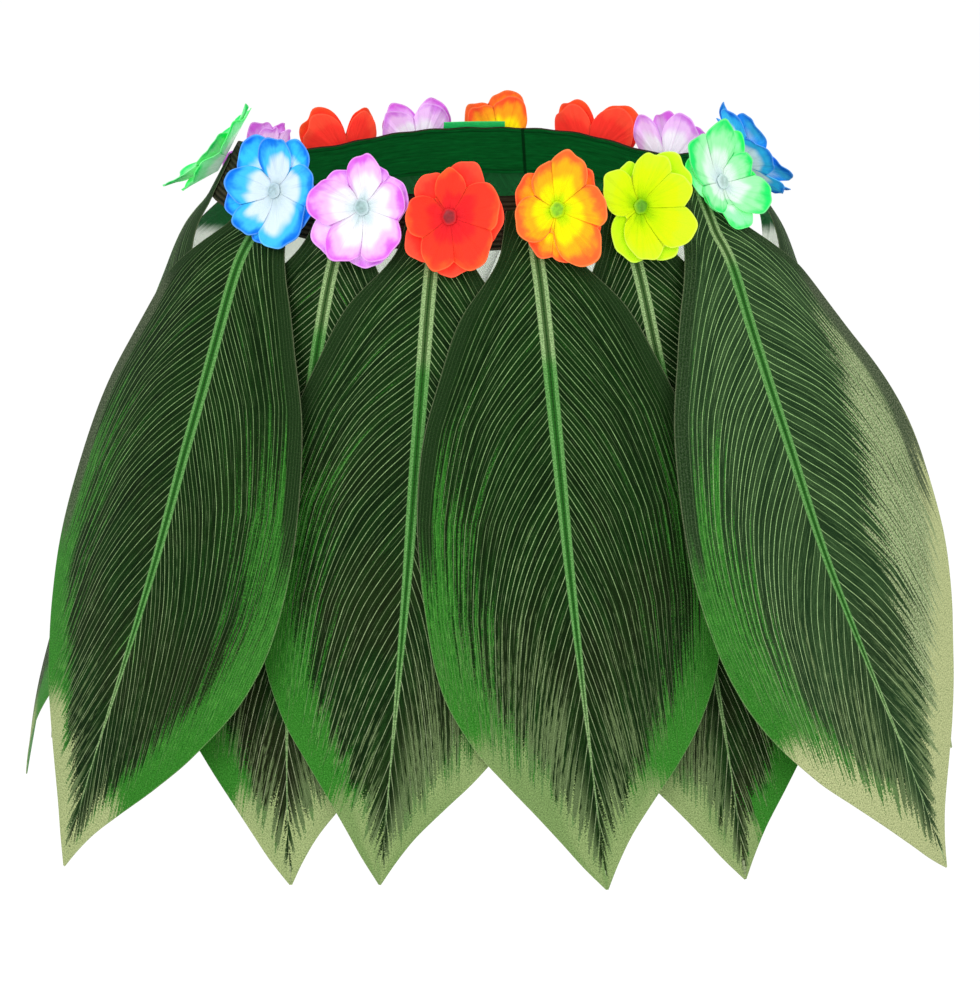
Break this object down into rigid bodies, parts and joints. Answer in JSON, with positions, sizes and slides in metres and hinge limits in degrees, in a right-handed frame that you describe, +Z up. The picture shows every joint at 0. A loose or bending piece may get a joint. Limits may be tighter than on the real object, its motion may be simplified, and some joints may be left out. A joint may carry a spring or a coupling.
{
  "type": "ti leaf skirt",
  "caption": "Costume hula skirt of broad printed cloth ti leaves on an elastic waistband ringed with cloth flowers, shown filled out with no wearer.",
  "frame": {"origin": "centre of the waistband at its middle height, where the wearer's waist holds it up", "axes": "+Z up, the skirt's front faces -Y, +X is to the right seen from the front"},
  "size_m": [0.5162, 0.3874, 0.3923],
  "materials": {
    "band_satin": "dark green ribbed satin elastic",
    "tape_satin": "emerald satin tape",
    "leaf_cloth": "printed polyester cloth, dark green with pale veins",
    "petal_blue": "dyed cloth, white centre to cyan and blue tips",
    "petal_pink": "dyed cloth, white with magenta margins",
    "petal_red": "dyed cloth, bright red",
    "petal_orange": "dyed cloth, yellow centre to orange-red tips",
    "petal_lime": "dyed cloth, lime yellow",
    "petal_green": "dyed cloth, white centre to green tips",
    "eye_plastic": "small moulded plastic cap"
  },
  "bodies": {
    "root": {"waistband": "band_satin", "joining_tape": "tape_satin", "leaf_01": "leaf_cloth", "flower_01_back": "petal_blue", "flower_01_front": "petal_blue", "flower_01_eye": "eye_plastic", "leaf_02": "leaf_cloth", "flower_02_back": "petal_pink", "flower_02_front": "petal_pink", "flower_02_eye": "eye_plastic", "leaf_03": "leaf_cloth", "flower_03_back": "petal_red", "flower_03_front": "petal_red", "flower_03_eye": "eye_plastic", "leaf_04": "leaf_cloth", "flower_04_back": "petal_orange", "flower_04_front": "petal_orange", "flower_04_eye": "eye_plastic", "leaf_05": "leaf_cloth", "flower_05_back": "petal_lime", "flower_05_front": "petal_lime", "flower_05_eye": "eye_plastic", "leaf_06": "leaf_cloth", "flower_06_back": "petal_green", "flower_06_front": "petal_green", "flower_06_eye": "eye_plastic", "leaf_07": "leaf_cloth", "flower_07_back": "petal_blue", "flower_07_front": "petal_blue", "flower_07_eye": "eye_plastic", "leaf_08": "leaf_cloth", "flower_08_back": "petal_pink", "flower_08_front": "petal_pink", "flower_08_eye": "eye_plastic", "leaf_09": "leaf_cloth", "flower_09_back": "petal_red", "flower_09_front": "petal_red", "flower_09_eye": "eye_plastic", "leaf_10": "leaf_cloth", "flower_10_back": "petal_orange", "flower_10_front": "petal_orange", "flower_10_eye": "eye_plastic", "leaf_11": "leaf_cloth", "flower_11_back": "petal_pink", "flower_11_front": "petal_pink", "flower_11_eye": "eye_plastic", "leaf_12": "leaf_cloth", "flower_12_back": "petal_red", "flower_12_front": "petal_red", "flower_12_eye": "eye_plastic", "leaf_13": "leaf_cloth", "flower_13_back": "petal_pink", "flower_13_front": "petal_pink", "flower_13_eye": "eye_plastic", "leaf_14": "leaf_cloth", "flower_14_back": "petal_green", "flower_14_front": "petal_green", "flower_14_eye": "eye_plastic"}
  },
  "joints": []
}
